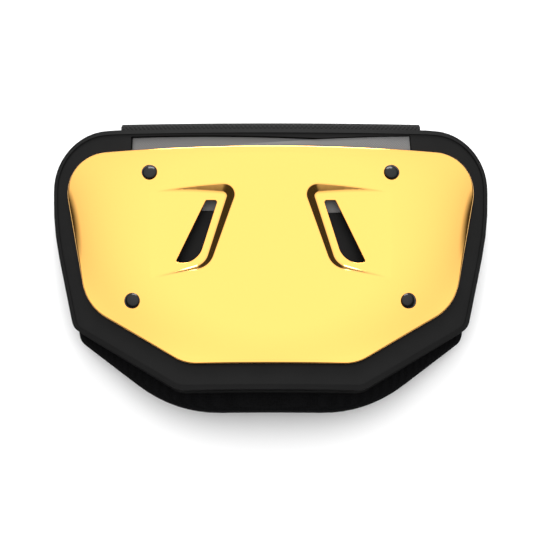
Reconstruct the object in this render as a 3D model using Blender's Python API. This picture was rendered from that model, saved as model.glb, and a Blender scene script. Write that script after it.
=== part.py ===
"""Football back plate: a vented hard plate riveted to a two-layer foam pad.

The plate is worn over the lower back. It is modelled lying on its back as it rests on a table:
+Z points out of the hard plate, +Y to the edge that meets the shoulder pads, X across the back.
The origin is on the table, under the middle of the box round the whole thing. Units are metres.

Every soft or sheet piece is first made flat and then bent. In the flat state a point is (u, v, h):
u is measured across, round the front face of the foam, v is up, and h is the height off that face.
"""

import math

import bmesh
import bpy
from mathutils import Matrix, Vector
from mathutils.geometry import delaunay_2d_cdt

# Overall sizes
BEND_RADIUS = 0.440  # of the foam's front face, round the wearer's back
ARCH_RISE = 0.022  # clear height under the middle of the arch
OVERALL_HEIGHT = 0.2106  # from the fold of the band to the bottom of the rear pad
PIECE_GAP = 0.0003  # between pieces that touch

# Front pad, moulded foam
FRONT_WIDTH = 0.3202  # round the curve
FRONT_THICKNESS = 0.011
FRONT_EDGE_ROUND = 0.0035
LIP_WIDTH = 0.0012  # thin bonded lip round the foot of the front pad
LIP_HEIGHT = 0.0014
REAR_SKIRT = 0.0127  # how far the rear pad reaches below the front pad
TOP_DIP = 0.0029  # the top edge sags this much in the middle

# Rear pad, foam in a fabric cover
REAR_THICKNESS = 0.014
REAR_EDGE_ROUND = 0.0050  # towards the wearer
REAR_FRONT_ROUND = 0.0035
REAR_WIDTH = 0.3200  # round the curve

# Hard plate
PLATE_WIDTH = 0.3063  # between the two top corners before they are rounded, round the curve
PLATE_HEIGHT = 0.1554
PLATE_BOW = 0.0011  # the top edge falls this much from its middle to its ends
PLATE_TOP_MARGIN = 0.0168  # from the top edge of the foam down to the plate
PLATE_THICKNESS = 0.0023
PLATE_RIM_GAP = 0.0012  # air between foam and the rim of the plate
PLATE_CROWN = 0.0055  # how far the middle stands over the rim
CROWN_RUN = 0.060  # distance from an edge over which the crown rises
PLATE_CHAMFER = 0.0008

# Vents, sunk into the plate
VENT_HEIGHT = 0.0677  # from the upper corner of the scoop to its lower tip
VENT_WIDTH = 0.0615  # from the inner corner out to the tips
VENT_INNER = 0.0205  # from the middle of the plate to the inner corner
VENT_BELOW_TOP = 0.0276  # from the top edge of the plate to the upper corner
RAMP_SLOPE = 0.135
WALL_SLOPE = 0.95

# Band and straps, woven webbing
BAND_WIDTH = 0.2242
BAND_THICKNESS = 0.0018
BAND_FRONT_LEG = 0.0280  # tucked in between the two pads
BAND_REAR_LEG = 0.0420  # down the wearer's side of the rear pad
BAND_SLACK = 0.0054  # the fold stands this far off the top edge of the foam
BAND_FOLD_ROUND = 0.0034
STRAP_WIDTH = 0.0540
STRAP_THICKNESS = 0.0010
STRAP_LENGTH = 0.1330
STRAP_OUTER_END = 0.1000  # from the middle to the riveted end
BED_CLEARANCE = 0.0006  # round the webbing, in the recesses pressed into the foam
VENT_AIR_GAP = 0.0015  # between the underside of a vent and the foam

# Rivets
CAP_RADIUS = 0.0055
CAP_HEIGHT = 0.0027
SHANK_RADIUS = 0.0020
WASHER_RADIUS = 0.0048
WASHER_THICKNESS = 0.0012
RIVET_CLEARANCE = 0.0004
UPPER_RIVET = {"across": 0.0844, "below_top": 0.0184}  # from the middle, and from the plate's top
LOWER_RIVET = {"from_side": 0.0578, "above_bottom": 0.0451}  # from half the width, and the bottom

# How finely round shapes are cut
ARC_STEP = math.radians(9)
BEND_STEP = 0.0110
FLAT_MIDDLE = 0.0150  # half width of the flat facet down the middle of each bent face
GRID_ACROSS = 0.0095
GRID_UP = 0.0125
RIVET_SIDES = 20

# Levels and places that follow from the sizes above
STAND_OFF = BAND_SLACK + BAND_THICKNESS
PAD_TOP = OVERALL_HEIGHT / 2 - STAND_OFF
REAR_BOTTOM = -OVERALL_HEIGHT / 2
FRONT_BOTTOM = REAR_BOTTOM + REAR_SKIRT
REAR_FACE = -FRONT_THICKNESS - PIECE_GAP
REAR_BACK = REAR_FACE - REAR_THICKNESS
BAND_BED = REAR_FACE - BAND_THICKNESS - PIECE_GAP
FACE_HEIGHT = ARCH_RISE - REAR_BACK
PLATE_TOP = PAD_TOP - PLATE_TOP_MARGIN
PLATE_BOTTOM = PLATE_TOP - PLATE_HEIGHT
VENT_TOP = PLATE_TOP - VENT_BELOW_TOP
VENT_TIPS = VENT_INNER + VENT_WIDTH

# Outlines, right half, from the top round to the bottom. Places are shares of the half width (u)
# and of the height from bottom to top (v). Radii are shares of the half width.
FRONT_CORNERS = (
    {"u": 1.000, "v": 1.000, "radius": 0.255},  # shoulder
    {"u": 1.000, "v": 0.640, "radius": 1.280},  # where the side starts to run in
    {"u": 0.888, "v": 0.245, "radius": 0.080},  # hip
    {"u": 0.403, "v": 0.000, "radius": 0.110},  # foot of the slope
)
REAR_CORNERS = (
    {"u": 1.000, "v": 1.000, "radius": 0.255},
    {"u": 1.000, "v": 0.700, "radius": 1.130},
    {"u": 0.887, "v": 0.260, "radius": 0.070},
    {"u": 0.436, "v": 0.000, "radius": 0.625},
)
PLATE_CORNERS = (
    {"u": 1.000, "v": 1.000, "radius": 0.185},
    {"u": 0.853, "v": 0.280, "radius": 0.260},
    {"u": 0.385, "v": 0.000, "radius": 0.204},
)
# The scoop's rim, from its upper tip round to its lower tip. Places are shares of the vent's width
# out from the inner corner (out) and of its height down from the upper corner (down).
VENT_RIM = (
    {"out": 1.000, "down": 0.084, "radius": 0.0},
    {"out": 0.500, "down": 0.027, "radius": 6.0},
    {"out": 0.000, "down": 0.000, "radius": 0.140},
    {"out": 0.343, "down": 0.911, "radius": 0.240},
    {"out": 0.985, "down": 1.000, "radius": 0.0},
)
# The slot through the floor of the scoop, in the same shares.
VENT_SLOT = (
    {"out": 0.397, "down": 0.183, "radius": 0.020},
    {"out": 0.268, "down": 0.183, "radius": 0.024},
    {"out": 0.456, "down": 0.755, "radius": 0.230},
    {"out": 0.590, "down": 0.854, "radius": 0.210},
    {"out": 0.728, "down": 0.835, "radius": 0.020},
)
# The two straps: which side each is riveted on, the height of its riveted end's top corner under
# the top of the foam, how it slants down to the middle, and which layer it is from the foam up.
STRAPS = (
    {"name": "strap_left", "side": -1, "below_top": 0.0069, "slant": math.radians(1.7), "layer": 0},
    {"name": "strap_right", "side": 1, "below_top": 0.0061, "slant": math.radians(4.2), "layer": 1},
)


def corner_reaches(places, radii):
    """How far each rounded corner reaches along its edges, kept within the edges' lengths."""
    count = len(places)
    reaches = []
    for i, here in enumerate(places):
        half = (places[i - 1] - here).angle(places[(i + 1) % count] - here) / 2
        reaches.append(radii[i] / math.tan(half) if math.pi / 2 - half > 1e-4 else 0)
    limits = [1.0] * count
    for i, here in enumerate(places):
        after = (i + 1) % count
        share = 0.98 * (places[after] - here).length / max(1e-9, reaches[i] + reaches[after])
        limits[i] = min(limits[i], share)
        limits[after] = min(limits[after], share)
    return [reach * limit for reach, limit in zip(reaches, limits)]


def rounded(corners):
    """The closed outline through corners of (x, y, radius), each rounded by an arc."""
    places = [Vector(corner[:2]) for corner in corners]
    reaches = corner_reaches(places, [corner[2] for corner in corners])
    points = []
    for i, (here, reach) in enumerate(zip(places, reaches)):
        if reach <= 0:
            points.append(here)
            continue
        back = (places[i - 1] - here).normalized()
        ahead = (places[(i + 1) % len(places)] - here).normalized()
        half = back.angle(ahead) / 2
        centre = here + (back + ahead).normalized() * reach / math.cos(half)
        start = here + back * reach - centre
        turn = math.pi - 2 * half
        side = 1 if back.x * ahead.y - back.y * ahead.x < 0 else -1
        steps = max(2, math.ceil(turn / ARC_STEP))
        for k in range(steps + 1):
            angle = side * turn * k / steps
            cos, sin = math.cos(angle), math.sin(angle)
            points.append(centre + Vector((start.x * cos - start.y * sin, start.x * sin + start.y * cos)))
    return points


def symmetric_outline(rows, width, bottom, top):
    """Both halves of an outline, anticlockwise, from a table for the right half."""
    half = width / 2
    height = top - bottom
    right = [(r["u"] * half, bottom + r["v"] * height, r["radius"] * half) for r in rows]
    left = [(-u, v, radius) for u, v, radius in right]
    return rounded(left + right[::-1])


def inset(points, distance):
    """The closed anticlockwise outline moved inwards by this distance."""
    moved = []
    for i, here in enumerate(points):
        before = (here - points[i - 1]).normalized()
        after = (points[(i + 1) % len(points)] - here).normalized()
        inward = Vector((-before.y - after.y, before.x + after.x)).normalized()
        lean = inward.dot(Vector((-after.y, after.x)))
        moved.append(here + inward * distance / lean)
    return moved


def new_object(name, bm):
    """A mesh object from a bmesh, with its faces pointing out."""
    bmesh.ops.recalc_face_normals(bm, faces=bm.faces)
    mesh = bpy.data.meshes.new(name)
    bm.to_mesh(mesh)
    bm.free()
    obj = bpy.data.objects.new(name, mesh)
    bpy.context.scene.collection.objects.link(obj)
    return obj


def slab(name, outline, sections):
    """A solid through copies of one outline, each moved in and up by a row of (inset, height)."""
    bm = bmesh.new()
    loops = []
    for distance, height in sections:
        loop = inset(outline, distance)
        loops.append([bm.verts.new((p.x, p.y, height)) for p in loop])
    for lower, upper in zip(loops, loops[1:]):
        for i in range(len(lower)):
            bm.faces.new((lower[i - 1], lower[i], upper[i], upper[i - 1]))
    bm.faces.new(loops[0][::-1])
    bm.faces.new(loops[-1])
    return new_object(name, bm)


def box(name, low, high):
    """A block between two corners, used as a cutter or as the start of a strap."""
    bm = bmesh.new()
    bmesh.ops.create_cube(bm, size=1)
    size = Vector(high) - Vector(low)
    middle = (Vector(high) + Vector(low)) / 2
    bmesh.ops.scale(bm, vec=size, verts=bm.verts)
    bmesh.ops.translate(bm, vec=middle, verts=bm.verts)
    return new_object(name, bm)


def cut(obj, cutters):
    """Takes each cutter out of the object."""
    for cutter in cutters:
        modifier = obj.modifiers.new("cut", "BOOLEAN")
        modifier.operation = "DIFFERENCE"
        modifier.solver = "EXACT"
        modifier.object = cutter
    graph = bpy.context.evaluated_depsgraph_get()
    mesh = bpy.data.meshes.new_from_object(obj.evaluated_get(graph))
    obj.modifiers.clear()
    obj.data = mesh


def bent(u, v, h):
    """Where a point of the flat state goes."""
    angle = u / BEND_RADIUS
    reach = BEND_RADIUS + h
    return Vector((reach * math.sin(angle), v, FACE_HEIGHT + reach * math.cos(angle) - BEND_RADIUS))


def top_dip(u, v):
    """How far the top edge of the foam and the band sag at this place."""
    start = PLATE_TOP - UPPER_RIVET["below_top"] + CAP_RADIUS
    share = min(1, max(0, (v - start) / (PAD_TOP - start)))
    across = max(0, 1 - (2 * u / BAND_WIDTH) ** 2)
    return TOP_DIP * across * share * share * (3 - 2 * share)


def in_strips(obj):
    """The object's mesh, cut across into strips and triangulated, one strip down the middle."""
    bm = bmesh.new()
    bm.from_mesh(obj.data)
    reach = max(abs(vert.co.x) for vert in bm.verts)
    lines = [FLAT_MIDDLE + BEND_STEP * k for k in range(math.ceil((reach - FLAT_MIDDLE) / BEND_STEP))]
    for line in lines:
        for u in (line, -line):
            everything = bm.verts[:] + bm.edges[:] + bm.faces[:]
            bmesh.ops.bisect_plane(bm, geom=everything, dist=1e-6, plane_co=(u, 0, 0), plane_no=(1, 0, 0))
    bmesh.ops.triangulate(bm, faces=bm.faces)
    return bm


def sag(obj):
    """Lets the top edge of a flat piece sag in the middle."""
    bm = in_strips(obj)
    for vert in bm.verts:
        vert.co.y -= top_dip(vert.co.x, vert.co.y)
    bm.to_mesh(obj.data)
    bm.free()


def bend(obj):
    """Bends a flat piece round the wearer's back."""
    bm = in_strips(obj)
    for vert in bm.verts:
        vert.co = bent(*vert.co)
    bmesh.ops.recalc_face_normals(bm, faces=bm.faces)
    bm.to_mesh(obj.data)
    bm.free()


def finish(obj, colour, roughness, metallic=0.0):
    """A material of the piece's own, and smooth shading between sharp edges."""
    material = bpy.data.materials.new(obj.name)
    material.use_nodes = True
    shader = material.node_tree.nodes["Principled BSDF"]
    shader.inputs["Base Color"].default_value = (*colour, 1)
    shader.inputs["Roughness"].default_value = roughness
    shader.inputs["Metallic"].default_value = metallic
    obj.data.materials.clear()
    obj.data.materials.append(material)
    obj.data.shade_smooth()
    obj.data.set_sharp_from_angle(angle=math.radians(35))


def edge_lines(corners):
    """For each straight edge of a closed anticlockwise polygon: a point on it and its inward normal."""
    lines = []
    for i, corner in enumerate(corners):
        along = (corners[(i + 1) % len(corners)] - corner).normalized()
        lines.append((corner, Vector((-along.y, along.x))))
    return lines


def plate_polygon():
    """The plate's outline before its corners are rounded."""
    half = PLATE_WIDTH / 2
    right = [Vector((r["u"] * half, PLATE_BOTTOM + r["v"] * PLATE_HEIGHT)) for r in PLATE_CORNERS]
    left = [Vector((-p.x, p.y)) for p in right]
    return left + right[::-1]


def bowed(point):
    """A point of the plate's outline, with the upper half sinking towards its ends."""
    rise = max(0, 2 * (point.y - PLATE_BOTTOM) / PLATE_HEIGHT - 1)
    return Vector((point.x, point.y - PLATE_BOW * rise * (2 * point.x / PLATE_WIDTH) ** 2))


def crown(u, v, lines):
    """Height of the plate's surface over its rim: it rises from every edge and levels off."""
    height = PLATE_CROWN
    for point, inward in lines:
        share = min(1, max(0, inward.dot(Vector((u, v)) - point) / CROWN_RUN))
        height *= 1 - (1 - share) ** 3
    return height


def vent_points(rows, closed):
    """Points of a vent's line on the right-hand side, from a table of shares."""
    corners = []
    for row in rows:
        u = VENT_INNER + row["out"] * VENT_WIDTH
        v = VENT_TOP - row["down"] * VENT_HEIGHT
        corners.append((u, v, row["radius"] * VENT_WIDTH))
    if not closed:
        # The ends stay sharp: only the corners between them are rounded.
        corners[0] = (*corners[0][:2], 0)
        corners[-1] = (*corners[-1][:2], 0)
    return rounded(corners)


def ramp_depth(u):
    """Depth of the scoop's floor, which starts at the tips and falls towards the middle."""
    return RAMP_SLOPE * (VENT_TIPS - abs(u))


def segment_distance(point, start, end):
    along = end - start
    share = min(1, max(0, (point - start).dot(along) / along.length_squared))
    return (point - start - along * share).length


def inside(point, polygon):
    """Whether a closed polygon goes round this point."""
    crossings = False
    for i, a in enumerate(polygon):
        b = polygon[i - 1]
        if (a.y > point.y) != (b.y > point.y):
            if point.x < a.x + (b.x - a.x) * (point.y - a.y) / (b.y - a.y):
                crossings = not crossings
    return crossings


def rim_distance(point, rim):
    return min(segment_distance(point, a, b) for a, b in zip(rim, rim[1:]))


def vent_depth(u, v, rim):
    """How far the plate is sunk here: the floor's ramp, or the wall between rim and floor."""
    point = Vector((abs(u), v))
    if not inside(point, rim):
        return 0.0
    return max(0.0, min(WALL_SLOPE * rim_distance(point, rim), ramp_depth(u)))


def floor_line(rim):
    """The crease where the scoop's wall meets its floor, from the rim's first point to its last."""
    line = []
    for i in range(1, len(rim) - 1):
        along = (rim[i + 1] - rim[i - 1]).normalized()
        inward = Vector((-along.y, along.x))
        width = ramp_depth(rim[i].x) / (WALL_SLOPE + RAMP_SLOPE * inward.x)
        place = rim[i] + inward * width
        # Inside the tight corner the offset points would cross over, and only the true ones stay.
        if rim_distance(place, rim) > width * 0.97:
            line.append(place)
    return [rim[0], *line, rim[-1]]


def surface(u, v, lines, rim):
    """Height of the plate's outer surface off the front face of the foam."""
    return PLATE_RIM_GAP + PLATE_THICKNESS + crown(u, v, lines) - vent_depth(u, v, rim)


def mirrored(points):
    return [Vector((-p.x, p.y)) for p in points]


def divided(points, step, closed):
    """The same line with points added, so that none of its stretches is longer than a step."""
    line = []
    ends = points[1:] + points[:1] if closed else points[1:]
    for start, end in zip(points, ends):
        parts = math.ceil((end - start).length / step)
        line += [start.lerp(end, k / parts) for k in range(parts)]
    return line if closed else [*line, points[-1]]


def far_from(point, lines, distance):
    return all(segment_distance(point, a, b) > distance for line in lines for a, b in zip(line, line[1:]))


def plate_layout(outline, rim):
    """The plate's flat triangulation: its points and its triangles."""
    ring = inset(outline, PLATE_CHAMFER)
    slot = vent_points(VENT_SLOT, closed=True)
    slot = divided(slot, GRID_ACROSS, closed=True)
    rim = divided(rim, GRID_ACROSS, closed=False)
    crease = floor_line(rim)
    loops = [outline, ring, slot, mirrored(slot)]
    lines = [rim, crease, mirrored(rim), mirrored(crease)]
    points = []
    edges = []
    for loop in loops:
        first = len(points)
        points += loop
        edges += [(first + i, first + (i + 1) % len(loop)) for i in range(len(loop))]
    for line in lines:
        first = len(points)
        points += line
        edges += [(first + i, first + i + 1) for i in range(len(line) - 1)]
    closed_loops = [loop + loop[:1] for loop in loops]
    columns = round(PLATE_WIDTH / GRID_ACROSS)
    rows = round(PLATE_HEIGHT / GRID_UP)
    for i in range(columns + 1):
        for j in range(rows + 1):
            # Every other row is moved half a step, for even triangles.
            shift = 0.5 * (j % 2)
            u = PLATE_WIDTH * ((i + shift) / columns - 0.5)
            place = Vector((u, PLATE_BOTTOM + PLATE_HEIGHT * j / rows))
            clear = far_from(place, closed_loops + lines, GRID_ACROSS * 0.35)
            if clear and inside(place, ring):
                points.append(place)
    # This way of filling stops at the outline, and the slots' triangles are dropped after it.
    stop_at_outline = 1
    found = delaunay_2d_cdt(points, edges, [], stop_at_outline, 1e-7)
    places, triangles = found[0], found[2]
    holes = [slot, mirrored(slot)]
    kept = []
    for triangle in triangles:
        middle = sum((places[i] for i in triangle), Vector((0, 0))) / 3
        if not any(inside(middle, hole) for hole in holes):
            kept.append(tuple(triangle))
    return places, kept


def make_plate(cutters):
    """The hard plate: one moulded sheet, crowned, with two scoops and their slots."""
    outline = symmetric_outline(PLATE_CORNERS, PLATE_WIDTH, PLATE_BOTTOM, PLATE_TOP)
    outline = [bowed(point) for point in divided(outline, GRID_ACROSS, closed=True)]
    rim = vent_points(VENT_RIM, closed=False)
    lines = edge_lines(plate_polygon())
    places, triangles = plate_layout(outline, rim)
    bm = bmesh.new()
    upper = []
    lower = []
    for place in places:
        height = surface(place.x, place.y, lines, rim)
        on_edge = min((place - p).length for p in outline) < 1e-6
        upper.append(bm.verts.new((*place, height - (PLATE_CHAMFER if on_edge else 0))))
        lower.append(bm.verts.new((*place, height - PLATE_THICKNESS)))
    used = {}
    for a, b, c in triangles:
        bm.faces.new((upper[a], upper[b], upper[c]))
        bm.faces.new((lower[c], lower[b], lower[a]))
        for pair in ((a, b), (b, c), (c, a)):
            used[frozenset(pair)] = None if frozenset(pair) in used else pair
    for pair in filter(None, used.values()):
        a, b = pair
        bm.faces.new((upper[b], upper[a], lower[a], lower[b]))
    for vert in [v for v in bm.verts if not v.link_faces]:
        bm.verts.remove(vert)
    bmesh.ops.triangulate(bm, faces=bm.faces)
    plate = new_object("hard_plate", bm)
    cut(plate, cutters)
    for vert in plate.data.vertices:
        vert.co = bent(*vert.co)
    finish(plate, (1.0, 0.68, 0.12), 0.12, metallic=1.0)
    return plate


def rivet_seat(u, v, lines, rim):
    """In the flat state: where a rivet's axis meets the plate's surface, and how it leans."""
    step = 0.001
    height = surface(u, v, lines, rim)
    slope_u = (surface(u + step, v, lines, rim) - height) / step
    slope_v = (surface(u, v + step, lines, rim) - height) / step
    outward = Vector((-slope_u, -slope_v, 1)).normalized()
    return Vector((u, v, height)), outward


def bent_frame(u):
    """The turn of the bent sheet at this distance from the middle."""
    return Matrix.Rotation(u / BEND_RADIUS, 4, "Y")


def spun(name, profile):
    """A turned solid from (radius, height) rows that start and end on its axis."""
    bm = bmesh.new()
    verts = [bm.verts.new((radius, 0, height)) for radius, height in profile]
    edges = [bm.edges.new(pair) for pair in zip(verts, verts[1:])]
    bmesh.ops.spin(
        bm, geom=verts + edges, angle=2 * math.pi, steps=RIVET_SIDES, axis=(0, 0, 1), cent=(0, 0, 0)
    )
    bmesh.ops.remove_doubles(bm, verts=bm.verts, dist=1e-6)
    bmesh.ops.dissolve_degenerate(bm, edges=bm.edges, dist=1e-6)
    return new_object(name, bm)


def rivet_profile(grip):
    """A domed cap over the plate, a plain shank, and a flat washer set under the front foam."""
    rows = [(0, PIECE_GAP + CAP_HEIGHT)]
    turns = 5
    for k in range(1, turns + 1):
        angle = math.pi / 2 * k / turns
        edge = 0.0006
        rise = (CAP_HEIGHT - edge) * math.cos(angle)
        rows.append((CAP_RADIUS * math.sin(angle), PIECE_GAP + edge + rise))
    rows += [(CAP_RADIUS, PIECE_GAP), (SHANK_RADIUS, PIECE_GAP), (SHANK_RADIUS, -grip)]
    rows += [(WASHER_RADIUS, -grip), (WASHER_RADIUS, -grip - WASHER_THICKNESS), (0, -grip - WASHER_THICKNESS)]
    return rows


def clearance_profile(grip):
    """What a rivet takes out of the pieces that it passes through."""
    hole = SHANK_RADIUS + RIVET_CLEARANCE
    pocket = WASHER_RADIUS + RIVET_CLEARANCE
    above = CAP_HEIGHT * 2
    below = grip + FRONT_THICKNESS
    return [(0, above), (hole, above), (hole, PIECE_GAP - grip), (pocket, PIECE_GAP - grip),
            (pocket, -below), (0, -below)]


def make_rivets():
    """Four rivets, and the flat-state cutters that clear them."""
    rim = vent_points(VENT_RIM, closed=False)
    lines = edge_lines(plate_polygon())
    places = (
        ("upper", UPPER_RIVET["across"], PLATE_TOP - UPPER_RIVET["below_top"]),
        ("lower", PLATE_WIDTH / 2 - LOWER_RIVET["from_side"], PLATE_BOTTOM + LOWER_RIVET["above_bottom"]),
    )
    cutters = []
    for level, across, v in places:
        for side, word in ((-1, "left"), (1, "right")):
            seat, outward = rivet_seat(side * across, v, lines, rim)
            # The washer's lowest edge stays clear of the rear pad.
            dip = WASHER_RADIUS * math.hypot(outward.x, outward.y)
            depth = seat.z + FRONT_THICKNESS - dip
            grip = depth / outward.z - WASHER_THICKNESS
            lean = Vector((0, 0, 1)).rotation_difference(outward).to_matrix().to_4x4()
            cutter = spun("rivet_clearance", clearance_profile(grip))
            cutter.matrix_world = Matrix.Translation(seat) @ lean
            cutter.hide_render = True
            cutter.display_type = "WIRE"
            cutters.append(cutter)
            rivet = spun(f"rivet_{level}_{word}", rivet_profile(grip))
            rivet.matrix_world = Matrix.Translation(bent(*seat)) @ bent_frame(seat.x) @ lean
            finish(rivet, (0.012, 0.012, 0.013), 0.22)
    return cutters


def strap_levels():
    """Heights of the undersides of the lower and the upper strap, and of the vents.

    The straps lie as high as the deepest part of the vents' undersides allows.
    """
    rim = vent_points(VENT_RIM, closed=False)
    lines = edge_lines(plate_polygon())
    crease = floor_line(rim)
    vents = min(surface(p.x, p.y, lines, rim) for p in crease) - PLATE_THICKNESS
    upper = min(vents, PLATE_RIM_GAP) - 2 * PIECE_GAP - STRAP_THICKNESS
    lower = upper - PIECE_GAP - STRAP_THICKNESS
    return (lower, upper), vents


def strap_block(name, row, low, high, margin):
    """A strap's flat block, turned to its slant, with a margin round it for its bed."""
    start = (-margin, -STRAP_WIDTH - margin, low)
    block = box(name, start, (STRAP_LENGTH + margin, margin, high))
    turn = Matrix.Rotation(-row["slant"], 4, "Z")
    place = Matrix.Translation((-STRAP_OUTER_END, PAD_TOP - row["below_top"], 0))
    block.data.transform(place @ turn)
    if row["side"] > 0:
        block.data.transform(Matrix.Scale(-1, 4, (1, 0, 0)))
        block.data.flip_normals()
    return block


def make_front_pad(cutters):
    """The smooth moulded foam that shows round the plate, with the beds that the straps lie in."""
    outline = symmetric_outline(FRONT_CORNERS, FRONT_WIDTH, FRONT_BOTTOM, PAD_TOP)
    sections = [(0, -FRONT_THICKNESS), (0, LIP_HEIGHT - FRONT_THICKNESS)]
    sections.append((LIP_WIDTH, 1.3 * LIP_HEIGHT - FRONT_THICKNESS))
    turns = 3
    for k in range(turns + 1):
        angle = math.pi / 2 * k / turns
        distance = LIP_WIDTH + FRONT_EDGE_ROUND * (1 - math.cos(angle))
        sections.append((distance, FRONT_EDGE_ROUND * (math.sin(angle) - 1)))
    pad = slab("front_pad", outline, sections)
    sag(pad)
    levels, vents = strap_levels()
    over = PLATE_CROWN + PLATE_THICKNESS
    cutters = list(cutters)
    for row in STRAPS:
        floor = levels[row["layer"]] - PIECE_GAP
        cutters.append(strap_block("strap_bed", row, floor, over, BED_CLEARANCE))
    for side in (-1, 1):
        across = sorted((side * VENT_INNER, side * VENT_TIPS))
        low = (across[0], VENT_TOP - VENT_HEIGHT, vents - VENT_AIR_GAP)
        cutters.append(box("vent_relief", low, (across[1], VENT_TOP, over)))
    for cutter in cutters:
        cutter.hide_render = True
        cutter.display_type = "WIRE"
    cut(pad, cutters)
    bend(pad)
    finish(pad, (0.018, 0.018, 0.018), 0.62)


def make_rear_pad():
    """The fabric-covered foam behind it, trimmed flat along both sides where it rests."""
    outline = symmetric_outline(REAR_CORNERS, REAR_WIDTH, REAR_BOTTOM, PAD_TOP)
    turns = 3
    sections = []
    for k in range(turns + 1):
        angle = math.pi / 2 * k / turns
        low = REAR_EDGE_ROUND
        sections.append((low * (1 - math.sin(angle)), REAR_BACK + low * (1 - math.cos(angle))))
    for k in range(turns + 1):
        angle = math.pi / 2 * k / turns
        high = REAR_FRONT_ROUND
        sections.append((high * (1 - math.cos(angle)), REAR_FACE - high * (1 - math.sin(angle))))
    pad = slab("rear_pad", outline, sections)
    half = BAND_WIDTH / 2 + BED_CLEARANCE
    foot = PAD_TOP - BAND_FRONT_LEG - BED_CLEARANCE
    bed = box("band_bed", (-half, foot, BAND_BED), (half, PAD_TOP + STAND_OFF, 0))
    bed.hide_render = True
    bed.display_type = "WIRE"
    cut(pad, [bed])
    sag(pad)
    bend(pad)
    bm = bmesh.new()
    bm.from_mesh(pad.data)
    everything = bm.verts[:] + bm.edges[:] + bm.faces[:]
    trimmed = bmesh.ops.bisect_plane(
        bm, geom=everything, dist=1e-6, plane_co=(0, 0, 0), plane_no=(0, 0, 1), clear_inner=True
    )
    rim = [e for e in trimmed["geom_cut"] if isinstance(e, bmesh.types.BMEdge)]
    bmesh.ops.edgeloop_fill(bm, edges=rim)
    bmesh.ops.triangulate(bm, faces=bm.faces)
    bmesh.ops.recalc_face_normals(bm, faces=bm.faces)
    bm.to_mesh(pad.data)
    bm.free()
    finish(pad, (0.010, 0.010, 0.011), 0.9)


def make_straps(cutters):
    """Two lengths of webbing that cross under the plate, each riveted at its outer end."""
    levels, _ = strap_levels()
    for row in STRAPS:
        height = levels[row["layer"]]
        strap = strap_block(row["name"], row, height, height + STRAP_THICKNESS, 0)
        cut(strap, cutters)
        bend(strap)
        finish(strap, (0.085, 0.085, 0.088), 0.75)


def band_profile():
    """The band's section as (v, h) points: a front leg, the fold over the top and a rear leg."""
    rear = REAR_BACK - PIECE_GAP
    inner_top = PAD_TOP + BAND_SLACK
    outer = -FRONT_THICKNESS - PIECE_GAP
    front = outer - BAND_THICKNESS
    front_end = PAD_TOP - BAND_FRONT_LEG
    rear_end = PAD_TOP - BAND_REAR_LEG
    inner_round = BAND_FOLD_ROUND - BAND_THICKNESS
    corners = [
        (front_end, front, 0),
        (inner_top, front, inner_round),
        (inner_top, rear, inner_round),
        (rear_end, rear, 0),
        (rear_end, rear - BAND_THICKNESS, 0),
        (inner_top + BAND_THICKNESS, rear - BAND_THICKNESS, BAND_FOLD_ROUND),
        (inner_top + BAND_THICKNESS, outer, BAND_FOLD_ROUND),
        (front_end, outer, 0),
    ]
    return rounded(corners)


def make_band():
    """The woven band folded over the top edge of the rear pad, its front leg behind the front pad."""
    bm = bmesh.new()
    verts = [bm.verts.new((-BAND_WIDTH / 2, p.x, p.y)) for p in band_profile()]
    face = bm.faces.new(verts)
    swept = bmesh.ops.extrude_face_region(bm, geom=[face])
    moved = [item for item in swept["geom"] if isinstance(item, bmesh.types.BMVert)]
    bmesh.ops.translate(bm, vec=(BAND_WIDTH, 0, 0), verts=moved)
    band = new_object("top_band", bm)
    sag(band)
    bend(band)
    finish(band, (0.020, 0.020, 0.021), 0.85)


def main():
    for obj in list(bpy.data.objects):
        bpy.data.objects.remove(obj)
    cutters = make_rivets()
    bpy.context.view_layer.update()
    make_plate(cutters)
    make_front_pad(cutters)
    make_rear_pad()
    make_band()
    make_straps(cutters)


main()
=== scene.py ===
"""Football back plate lying on a pale table: the looks of its foam, webbing, plate and rivets."""

import math

import bmesh
import bpy
import numpy as np
from mathutils import Matrix, Vector
from mathutils.geometry import delaunay_2d_cdt


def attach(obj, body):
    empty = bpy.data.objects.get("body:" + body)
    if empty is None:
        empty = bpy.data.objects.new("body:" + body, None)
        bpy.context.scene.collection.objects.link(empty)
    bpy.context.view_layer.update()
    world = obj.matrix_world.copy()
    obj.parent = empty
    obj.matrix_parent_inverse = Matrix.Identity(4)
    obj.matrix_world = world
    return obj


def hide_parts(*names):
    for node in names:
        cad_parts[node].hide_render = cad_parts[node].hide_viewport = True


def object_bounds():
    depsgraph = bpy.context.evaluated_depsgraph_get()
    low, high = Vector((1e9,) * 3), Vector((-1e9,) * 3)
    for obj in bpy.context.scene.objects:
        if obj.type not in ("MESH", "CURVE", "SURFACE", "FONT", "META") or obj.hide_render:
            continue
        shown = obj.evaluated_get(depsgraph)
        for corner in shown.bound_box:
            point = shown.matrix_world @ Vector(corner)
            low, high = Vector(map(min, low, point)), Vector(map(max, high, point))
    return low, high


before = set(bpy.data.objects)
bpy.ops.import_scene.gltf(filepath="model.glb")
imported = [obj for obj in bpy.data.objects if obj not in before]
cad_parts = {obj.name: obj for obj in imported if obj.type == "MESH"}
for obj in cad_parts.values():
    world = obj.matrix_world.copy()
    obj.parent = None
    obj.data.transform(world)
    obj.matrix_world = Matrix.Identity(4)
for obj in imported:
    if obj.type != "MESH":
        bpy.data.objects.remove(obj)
cad_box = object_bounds()


# The view: nearly overhead, leaning a little towards the lower edge, through a long lens.
ELEVATION = math.radians(78)
DISTANCE = 1.3
TARGET = Vector((-0.0005, cad_box[0][1] + 0.0988, 0.040))
FRAME_WIDTH = 0.378  # what the picture spans at the target

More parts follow.
